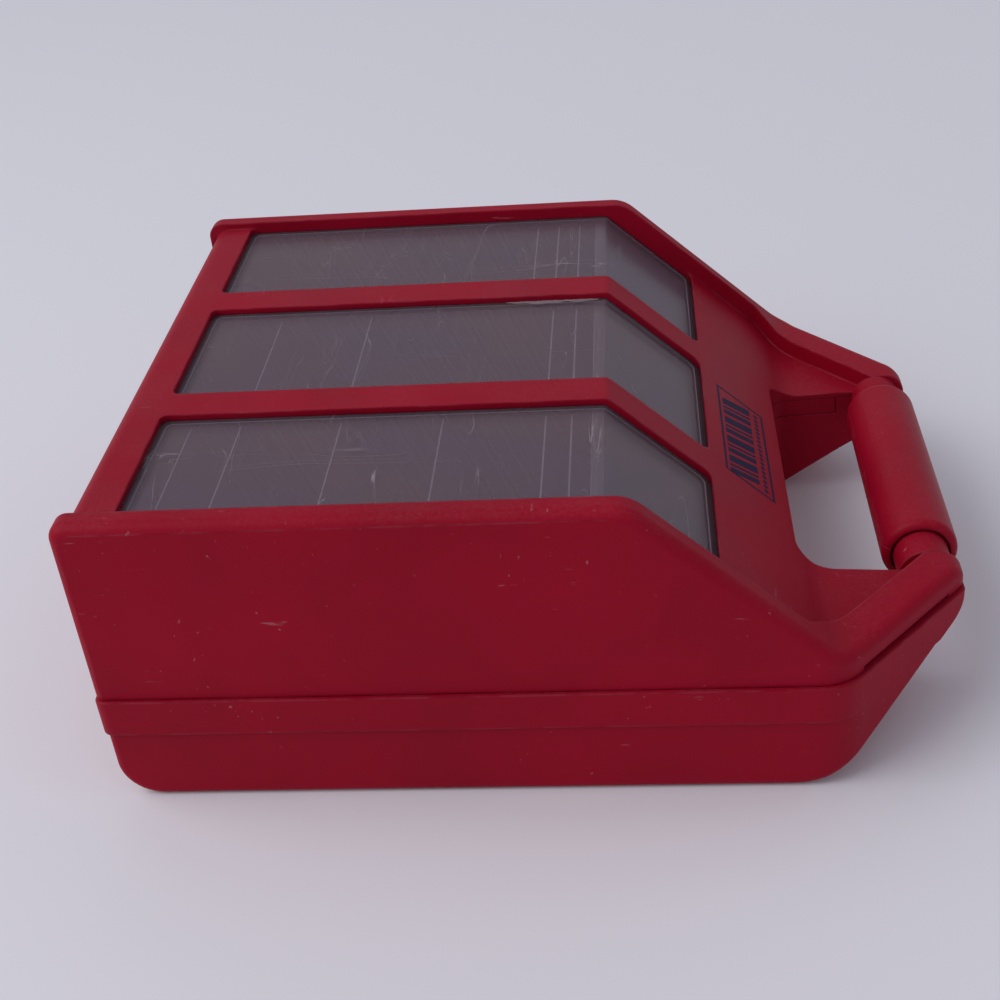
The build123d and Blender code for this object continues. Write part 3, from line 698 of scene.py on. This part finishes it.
@dataclass(frozen=True)
class Workshop:
    """The built materials of every finish."""

    shell: bpy.types.Material
    grip: bpy.types.Material
    latch: bpy.types.Material
    window: bpy.types.Material
    tray: bpy.types.Material
    divider: bpy.types.Material
    bead: bpy.types.Material
    chip: bpy.types.Material
    steel: bpy.types.Material
    ink: bpy.types.Material

    @classmethod
    def open(cls) -> "Workshop":
        """Build every finish once.

        Returns:
            The workshop with its materials.
        """
        effects = Effects()
        low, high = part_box("divider_near_1")
        finishes = {
            "shell": MouldedPlastic("shell_red_plastic"),
            "grip": MouldedPlastic("grip_red_plastic", roughness=0.42, wear_and_highlight=0.5, scuffs=0.2),
            "latch": MouldedPlastic("latch_red_plastic", scuffs=0.2),
            # The panes' mauve-grey veil and its opacity are mostly a painted reflection of the
            # room, with a little dust haze.
            "window": ClearPlastic("window_clear_plastic", srgb(136, 112, 122), body=0.24, rim_highlight=0.3),
            # The trays' milky colour is their own; the paler second colour is the painted edge
            # highlight.
            "tray": ClearPlastic(
                "tray_clear_plastic", srgb(196, 186, 194), srgb(224, 218, 226),
                body=0.46, rim_highlight=0.6, scratches=0.0, roughness=0.35, radius=0.7 * MM, evenness=0.15,
            ),
            # The dividers' pale second colour is their painted edge highlight.
            "divider": DividerSheet(
                "divider_clear_plastic", srgb(150, 146, 162), srgb(226, 224, 238),
                body=0.14, rim_highlight=0.25, scratches=0.0, half_width=(high[1] - low[1]) / MM / 2,
            ),
            "bead": ClearPlastic(
                "bead_clear_plastic", srgb(150, 136, 146), body=0.3, rim_highlight=0.1, scratches=0.0
            ),
            "chip": ClearPlastic(
                "chipped_clear_plastic", srgb(190, 172, 180), body=0.42, rim_highlight=0.4, scratches=0.8
            ),
            "steel": DrawnSteel("drawn_steel"),
            "ink": WornInk("printed_ink"),
        }
        return cls(**{name: finish.build(effects) for name, finish in finishes.items()})


# --------------------------------------------------------------- mesh building


def new_piece(
    name: str, mesh_tool: bmesh.types.BMesh, material: bpy.types.Material, body: Body
) -> bpy.types.Object:
    """Turn a bmesh into a piece that rides on a body.

    Args:
        name: The piece's name.
        mesh_tool: The bmesh, freed here.
        material: Its finish.
        body: The body that it rides on.

    Returns:
        The new object.
    """
    bmesh.ops.recalc_face_normals(mesh_tool, faces=mesh_tool.faces)
    mesh = bpy.data.meshes.new(name)
    mesh_tool.to_mesh(mesh)
    mesh_tool.free()
    mesh.materials.append(material)
    piece = bpy.data.objects.new(name, mesh)
    bpy.context.scene.collection.objects.link(piece)
    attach(piece, body.value)
    LOG.info("%s: %d faces, rides on %s", name, len(mesh.polygons), body.value)
    return piece


def dress(node: str, material: bpy.types.Material) -> None:
    """Give a CAD node its finish.

    Args:
        node: The node's name.
        material: The finish for all of its slots.
    """
    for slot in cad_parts[node].material_slots:
        slot.material = material
    LOG.info("%s: dressed in %s", node, material.name)


@dataclass(frozen=True)
class CoverTop:
    """The cover's window panel in side view: level, then sloping down to the hand hole."""

    level: float = 116.5
    bend: float = 29.031
    angle: float = 42.2

    @property
    def turn(self) -> float:
        """Angle of the slope in radians."""
        return math.radians(self.angle)

    @property
    def out_of_slope(self) -> Vector:
        """Direction square to the slope."""
        return Vector((math.sin(self.turn), 0, math.cos(self.turn)))

    def height(self, x: float, depth: float = 0.0) -> float:
        """Height of the surface at a depth under the panel.

        Args:
            x: Place along the case, in millimetres.
            depth: Depth under the outside, square to it.

        Returns:
            The height in millimetres.
        """
        fall = (x - self.bend) * math.tan(self.turn)
        slope = self.level - fall - depth / math.cos(self.turn)
        return min(self.level - depth, slope)

    def crest(self, depth: float) -> float:
        """Place along the case where level and slope meet at a depth."""
        return self.bend - depth * math.tan(self.turn / 2)

    def up(self, x: float, depth: float) -> Vector:
        """Direction out of the surface, halfway between both faces at the crest itself.

        Args:
            x: Place along the case, in millimetres.
            depth: Depth under the outside.

        Returns:
            The unit direction.
        """
        near_crest = 1e-6
        if x < self.crest(depth) - near_crest:
            return Vector((0, 0, 1))
        if x > self.crest(depth) + near_crest:
            return self.out_of_slope
        return Vector((math.sin(self.turn / 2), 0, math.cos(self.turn / 2)))


# ---------------------------------------------------------------- sub-assemblies


@dataclass
class Windows:
    """The three clear panes, with the moulded bead that follows each opening.

    The sizes are millimetres. The bead's profile is in shares of half its width and of its
    height.
    """

    top: CoverTop
    start: float = -133.175
    end: float = 65.325
    middle_edge: float = 34.297
    outer_start: float = 49.897
    outer_end: float = 115.5
    wall: float = 2.5
    bead_inset: float = 2.6
    bead_width: float = 0.7
    bead_height: float = 0.3
    bead_profile: tuple[Point, ...] = (
        (-1.0, -0.4), (-0.7, 0.7), (0.0, 1.0), (0.7, 0.7), (1.0, -0.4)
    )
    corner: float = 2.6
    corner_steps: int = 6
    long_run: float = 20.0
    run_steps: int = 12
    least_step: float = 0.5
    chip_span: Point = (-12.0, 25.0)
    chip_steps: int = 46
    chip_inset: float = 0.05
    chip_depth: float = 0.2
    chip_inner_lift: float = 0.03

    def sides(self, row: Row) -> Point:
        """Find the window of a row.

        Args:
            row: The row.

        Returns:
            Its lowest and highest Y.
        """
        if row is Row.MIDDLE:
            return -self.middle_edge, self.middle_edge
        ends = (self.outer_start, self.outer_end)
        return ends if row is Row.FAR else (-ends[1], -ends[0])

    def outline(self, row: Row, inset: float, radius: float) -> list[Point]:
        """Plan of a rounded rectangle inside a window, with points at the bend.

        Args:
            row: The row.
            inset: How far inside the opening it runs.
            radius: Its corner radius.

        Returns:
            Closed outline points, counter-clockwise.
        """
        low, high = self.sides(row)
        corners = (
            (self.end - inset - radius, low + inset + radius, -90),
            (self.end - inset - radius, high - inset - radius, 0),
            (self.start + inset + radius, high - inset - radius, 90),
            (self.start + inset + radius, low + inset + radius, 180),
        )
        points: list[Point] = []
        for centre_x, centre_y, first in corners:
            for step in range(self.corner_steps + 1):
                angle = math.radians(first + 90 * step / self.corner_steps)
                x = centre_x + radius * math.cos(angle)
                points.append((x, centre_y + radius * math.sin(angle)))
        out: list[Point] = []
        for here, there in zip(points, points[1:] + points[:1]):
            out.append(here)
            out.extend(self.stops(here, there))
        return out

    def stops(self, here: Point, there: Point) -> Iterable[Point]:
        """Points that divide a long side, one of them at the bend.

        Args:
            here: The side's first point.
            there: Its last point.

        Returns:
            The points between them, none where the side is short along X.
        """
        run, rise = there[0] - here[0], there[1] - here[1]
        if abs(run) <= self.long_run:
            return
        places = [here[0] + run * step / self.run_steps for step in range(1, self.run_steps)]
        for x in sorted([self.top.crest(self.wall)] + places, reverse=run < 0):
            if min(abs(x - here[0]), abs(x - there[0])) > self.least_step:
                yield x, here[1] + rise * (x - here[0]) / run

    def build_bead(self, row: Row, shop: Workshop) -> None:
        """Half-round bead on the pane, just inside the opening.

        Args:
            row: The row.
            shop: The finishes.
        """
        mesh_tool = bmesh.new()
        offsets = [across * self.bead_width / 2 for across, _ in self.bead_profile]
        outlines = [
            self.outline(row, self.bead_inset - offset, self.corner + offset) for offset in offsets
        ]
        rings = []
        for place in zip(*outlines):
            ring = []
            for (x, y), (_, rise) in zip(place, self.bead_profile):
                lift = self.top.up(x, self.wall) * rise * self.bead_height
                point = Vector((x, y, self.top.height(x, self.wall))) + lift
                ring.append(mesh_tool.verts.new(point * MM))
            rings.append(ring)
        count = len(self.bead_profile)
        for here, there in zip(rings, rings[1:] + rings[:1]):
            for number in range(count):
                after = (number + 1) % count
                mesh_tool.faces.new((here[number], here[after], there[after], there[number]))
        piece = new_piece(f"pane_bead_{row.word}", mesh_tool, shop.bead, Body.COVER)
        for polygon in piece.data.polygons:
            polygon.use_smooth = True

    def build_chip(self, shop: Workshop) -> None:
        """Chipped, whitened edge of the middle pane beside the far bar.

        Args:
            shop: The finishes.
        """
        dice = random.Random(4)
        mesh_tool = bmesh.new()
        first, last = self.chip_span
        edge = self.middle_edge - self.chip_inset
        ends, least, waves, chance = 0.2, 0.3, 1.9, 0.35
        ends_lift, least_lift, most_lift = 0.05, 0.05, 0.3
        tops, bottoms = [], []
        for step in range(self.chip_steps + 1):
            share = step / self.chip_steps
            x = first + (last - first) * share
            swell = math.sin(math.pi * share) ** 0.6
            wave = 0.5 + 0.5 * math.sin(x * 0.55 + 1.2) * math.cos(x * 0.23)
            reach = ends + swell * (least + waves * wave + dice.uniform(0.0, chance))
            lift = ends_lift + swell * dice.uniform(least_lift, most_lift)
            pane = self.top.height(x, self.wall)
            high = ((x, edge, pane + lift), (x, edge - reach, pane + self.chip_inner_lift))
            low = [(x, y, pane - self.chip_depth) for y in (edge, edge - reach)]
            tops.append([mesh_tool.verts.new(Vector(place) * MM) for place in high])
            bottoms.append([mesh_tool.verts.new(Vector(place) * MM) for place in low])
        rows = list(zip(tops, bottoms))
        for (top, bottom), (next_top, next_bottom) in zip(rows, rows[1:]):
            mesh_tool.faces.new((top[0], next_top[0], next_top[1], top[1]))
            mesh_tool.faces.new((bottom[0], bottom[1], next_bottom[1], next_bottom[0]))
            mesh_tool.faces.new((top[0], bottom[0], next_bottom[0], next_top[0]))
            mesh_tool.faces.new((top[1], next_top[1], next_bottom[1], bottom[1]))
        mesh_tool.faces.new((tops[0][0], tops[0][1], bottoms[0][1], bottoms[0][0]))
        mesh_tool.faces.new((tops[-1][0], bottoms[-1][0], bottoms[-1][1], tops[-1][1]))
        new_piece("pane_chip", mesh_tool, shop.chip, Body.COVER)

    def build(self, shop: Workshop) -> None:
        """Build the beads and the chip.

        Args:
            shop: The finishes.
        """
        for row in Row:
            self.build_bead(row, shop)
        self.build_chip(shop)

    def dress(self, shop: Workshop) -> None:
        """Finish the panes.

        Args:
            shop: The finishes.
        """
        for row in Row:
            dress(f"window_pane_{row.word}", shop.window)


@dataclass
class CardTrays:
    """The clear trays and the leaning dividers in them."""

    dividers: tuple[tuple[Row, int], ...] = ((Row.NEAR, 6), (Row.MIDDLE, 4), (Row.FAR, 3))

    def dress(self, shop: Workshop) -> None:
        """Finish trays and dividers.

        Args:
            shop: The finishes.
        """
        for row, count in self.dividers:
            dress(f"card_tray_{row.word}", shop.tray)
            for number in range(1, count + 1):
                dress(f"divider_{row.word}_{number}", shop.divider)


@dataclass
class PrintedMark:
    """Generic printed panel on the slope: a framed row of leaning cards over a line of dots.

    The sizes are millimetres, measured from the panel's middle.
    """

    top: CoverTop
    middle: Point = (80.8, -6.5)
    length: float = 63.0
    height: float = 25.0
    line: float = 1.1
    thickness: float = 0.05
    cards_start: float = -28.6
    cards_foot: float = -5.0
    cards_head: float = 10.0
    cards_lean: float = 5.2
    card_widths: tuple[float, ...] = (4.6, 1.5, 3.2) * 4
    card_gaps: tuple[float, ...] = (1.5, 1.3, 2.1) * 4
    dots_start: float = -27.2
    dots_level: float = -8.4
    dot_spacing: float = 3.2
    dot_radius: float = 1.15
    dot_count: int = 18
    dot_corners: int = 10

    def place(self, along: float, across: float, lift: float) -> Vector:
        """Point of the panel on the slope.

        Args:
            along: Along the case's width, towards its near side, from the middle.
            across: Up the slope, from the middle.
            lift: Above the surface.

        Returns:
            The place in metres.
        """
        x, y = self.middle
        middle = Vector((x, y, self.top.height(x)))
        up_slope = Vector((-math.cos(self.top.turn), 0, math.sin(self.top.turn)))
        flat = Vector((0, -1, 0)) * along + up_slope * across
        return (middle + flat + self.top.out_of_slope * lift) * MM

    def add_shape(self, mesh_tool: bmesh.types.BMesh, points: Sequence[Point]) -> None:
        """Thin plate with a given outline.

        Args:
            mesh_tool: The bmesh to add to.
            points: Outline in the panel's own millimetres.
        """
        low = [mesh_tool.verts.new(self.place(u, v, 0.0)) for u, v in points]
        high = [mesh_tool.verts.new(self.place(u, v, self.thickness)) for u, v in points]
        mesh_tool.faces.new(low)
        mesh_tool.faces.new(list(reversed(high)))
        for number in range(len(points)):
            after = (number + 1) % len(points)
            mesh_tool.faces.new((low[number], high[number], high[after], low[after]))

    def frame_bars(self) -> Iterable[list[Point]]:
        """Draw the four bars of the panel's frame.

        Returns:
            One outline for each.
        """
        u, v, w = self.length / 2, self.height / 2, self.line
        yield [(-u, v - w), (u, v - w), (u, v), (-u, v)]
        yield [(-u, -v), (u, -v), (u, -v + w), (-u, -v + w)]
        yield [(-u, -v + w), (-u + w, -v + w), (-u + w, v - w), (-u, v - w)]
        yield [(u - w, -v + w), (u, -v + w), (u, v - w), (u - w, v - w)]

    def cards(self) -> Iterable[list[Point]]:
        """Draw the leaning cards, thick and thin by turns.

        Returns:
            One outline for each.
        """
        foot, head, lean = self.cards_foot, self.cards_head, self.cards_lean
        left = self.cards_start
        for width, gap in zip(self.card_widths, self.card_gaps):
            right = left + width
            yield [(left, foot), (right, foot), (right + lean, head), (left + lean, head)]
            left = right + gap

    def dots(self) -> Iterable[list[Point]]:
        """Draw the row of dots under the cards.

        Returns:
            One outline for each.
        """
        turns = [math.tau * corner / self.dot_corners for corner in range(self.dot_corners)]
        circle = [(self.dot_radius * math.cos(a), self.dot_radius * math.sin(a)) for a in turns]
        for number in range(self.dot_count):
            centre = self.dots_start + number * self.dot_spacing
            yield [(centre + u, self.dots_level + v) for u, v in circle]

    def build(self, shop: Workshop) -> None:
        """Build the print.

        Args:
            shop: The finishes.
        """
        mesh_tool = bmesh.new()
        for shapes in (self.frame_bars(), self.cards(), self.dots()):
            for points in shapes:
                self.add_shape(mesh_tool, points)
        new_piece("printed_mark", mesh_tool, shop.ink, Body.COVER)


@dataclass
class Shells:
    """The back shell and the front cover."""

    nodes: tuple[str, ...] = ("back_shell", "front_cover")

    def dress(self, shop: Workshop) -> None:
        """Finish both shells.

        Args:
            shop: The finishes.
        """
        for node in self.nodes:
            dress(node, shop.shell)


@dataclass
class CarryGrip:
    """The handle bar, its screws and the two half sleeves of the grip."""

    sleeves: tuple[str, ...] = ("grip_upper_half", "grip_lower_half")

    def dress(self, shop: Workshop) -> None:
        """Finish bar, screws and sleeves.

        Args:
            shop: The finishes.
        """
        for node in self.sleeves:
            dress(node, shop.grip)
        dress("handle_bar", shop.shell)
        dress("bar_screws", shop.steel)


@dataclass
class HingeAndLatch:
    """The hinge pin, and the latch lever on its own pin."""

    pins: tuple[str, ...] = ("hinge_pin", "latch_pin")

    def dress(self, shop: Workshop) -> None:
        """Finish pins and lever.

        Args:
            shop: The finishes.
        """
        for node in self.pins:
            dress(node, shop.steel)
        dress("latch_lever", shop.latch)


# ------------------------------------------------------------------------ studio


@dataclass
class Studio:
    """Floor, soft light and the camera at the photograph's angle, all in metres.

    The floor has an opening under the case, which hides it from everywhere but below.
    """

    floor: Colour = srgb(236, 236, 244)
    floor_roughness: float = 0.7
    floor_reaches: tuple[float, ...] = (0.4, 1.0, 4.0, 12.0)
    floor_corners: int = 48
    gap: float = 0.0002
    opening_start: float = -0.134
    opening_end: float = 0.084
    opening_side: float = 0.108
    room: Colour = (0.62, 0.62, 0.68)
    room_strength: float = 0.6
    seen_strength: float = 0.84
    eye: Place = (0.0403011, -0.5058042, 0.3824662)
    right: Place = (0.9953077, 0.0579110, -0.0775168)
    up: Place = (0.0316985, 0.5617672, 0.8266879)
    back: Place = (0.0914207, -0.8252660, 0.5572955)
    focal_share: float = 1.4853155
    sensor: float = 36.0
    shift: Point = (-0.00658, 0.00022)

    def to_opening(self, x: float, y: float) -> float:
        """Find how far the opening's edge is from the floor's middle.

        Args:
            x: The direction's share along the case.
            y: Its share across the case.

        Returns:
            The distance.
        """
        end = self.opening_end if x > 0 else self.opening_start
        return 1 / max(x / end, abs(y) / self.opening_side)

    def floor_mesh(self) -> bpy.types.Mesh:
        """Build the floor's rings, from the opening outwards.

        Returns:
            The mesh.
        """
        mesh_tool = bmesh.new()
        turns = [math.tau * corner / self.floor_corners for corner in range(self.floor_corners)]
        ways = [(math.cos(turn), math.sin(turn)) for turn in turns]
        reaches = [[self.to_opening(x, y) for x, y in ways]]
        reaches += [[reach] * self.floor_corners for reach in self.floor_reaches]
        rings = [
            [mesh_tool.verts.new((x * far, y * far, -self.gap)) for (x, y), far in zip(ways, row)]
            for row in reaches
        ]
        for inner, outer in zip(rings, rings[1:]):
            for number in range(self.floor_corners):
                after = (number + 1) % self.floor_corners
                mesh_tool.faces.new((inner[number], outer[number], outer[after], inner[after]))
        mesh = bpy.data.meshes.new("floor")
        mesh_tool.to_mesh(mesh)
        mesh_tool.free()
        for polygon in mesh.polygons:
            polygon.use_smooth = True
        return mesh

    def floor_paper(self) -> bpy.types.Material:
        """Build the floor's pale paper, clear when seen from below.

        Returns:
            The material.
        """
        material = bpy.data.materials.new("floor_paper")
        material.use_nodes = True
        material.node_tree.nodes.clear()
        wiring = Wiring(material.node_tree)
        shader = wiring.add("ShaderNodeBsdfPrincipled")
        shader.inputs["Base Color"].default_value = (*self.floor, 1.0)
        shader.inputs["Roughness"].default_value = self.floor_roughness
        below = wiring.add("ShaderNodeNewGeometry").outputs["Backfacing"]
        clear = wiring.add("ShaderNodeBsdfTransparent").outputs[0]
        both = wiring.add("ShaderNodeMixShader", {0: below, 1: shader.outputs[0], 2: clear})
        wiring.add("ShaderNodeOutputMaterial", {"Surface": both.outputs[0]})
        return material

    def build_floor(self) -> None:
        """Lay the wide round floor just under the case."""
        mesh = self.floor_mesh()
        mesh.materials.append(self.floor_paper())
        floor = bpy.data.objects.new("floor", mesh)
        bpy.context.scene.collection.objects.link(floor)
        LOG.info("floor: stage")

    def build_world(self) -> None:
        """Light the room evenly, and show it paler where it is seen or mirrored."""
        world = bpy.data.worlds.new("room")
        world.use_nodes = True
        wiring = Wiring(world.node_tree)
        background = world.node_tree.nodes["Background"]
        background.inputs["Color"].default_value = (*self.room, 1.0)
        path = wiring.add("ShaderNodeLightPath")
        seen = wiring.math("ADD", path.outputs["Is Camera Ray"], path.outputs["Is Glossy Ray"])
        seen = wiring.math("ADD", seen, path.outputs["Is Transmission Ray"], clamp=True)
        more = self.seen_strength - self.room_strength
        strength = wiring.math("MULTIPLY_ADD", seen, more, self.room_strength)
        world.node_tree.links.new(strength, background.inputs["Strength"])
        bpy.context.scene.world = world

    def hang(self, data: bpy.types.Light, place: Place, aim: Place) -> None:
        """Put a lamp in the scene.

        Args:
            data: The lamp.
            place: Where it hangs.
            aim: What it points at.
        """
        lamp = bpy.data.objects.new(data.name, data)
        lamp.location = place
        lamp.rotation_euler = (Vector(aim) - Vector(place)).to_track_quat("-Z", "Y").to_euler()
        bpy.context.scene.collection.objects.link(lamp)

    def build_lamps(self) -> None:
        """Hang a square softbox, and a wide soft glow that reaches the far floor too."""
        softbox = bpy.data.lights.new("high_softbox", "AREA")
        softbox.shape = "SQUARE"
        softbox.size = 1.2
        softbox.energy = 7.0
        self.hang(softbox, (-1.2, -0.5, 1.2), (0.0, 0.0, 0.05))
        glow = bpy.data.lights.new("window_glow", "SUN")
        glow.energy = 0.78
        glow.angle = math.radians(50.0)
        self.hang(glow, (-1.2, -0.15, 1.4), (0.0, 0.0, 0.0))

    def build_camera(self) -> None:
        """Set up the camera that was fitted to the photograph's edges."""
        data = bpy.data.cameras.new("camera")
        data.sensor_width = self.sensor
        data.lens = self.focal_share * self.sensor
        data.shift_x, data.shift_y = self.shift
        data.clip_start = 0.01
        camera = bpy.data.objects.new("camera", data)
        turn = Matrix((self.right, self.up, self.back)).transposed()
        camera.matrix_world = Matrix.Translation(self.eye) @ turn.to_4x4()
        bpy.context.scene.collection.objects.link(camera)
        bpy.context.scene.camera = camera

    def build(self) -> None:
        """Build the whole studio."""
        self.build_floor()
        self.build_world()
        self.build_lamps()
        self.build_camera()
        bpy.context.scene.view_settings.view_transform = "Standard"


def main() -> None:
    """Build and dress the case, one sub-assembly after another."""
    logging.basicConfig(level=logging.INFO, format="%(message)s")
    shop = Workshop.open()
    top = CoverTop()
    Shells().dress(shop)
    windows = Windows(top)
    windows.dress(shop)
    windows.build(shop)
    CardTrays().dress(shop)
    PrintedMark(top).build(shop)
    CarryGrip().dress(shop)
    HingeAndLatch().dress(shop)
    Studio().build()


if __name__ == "__main__":
    main()
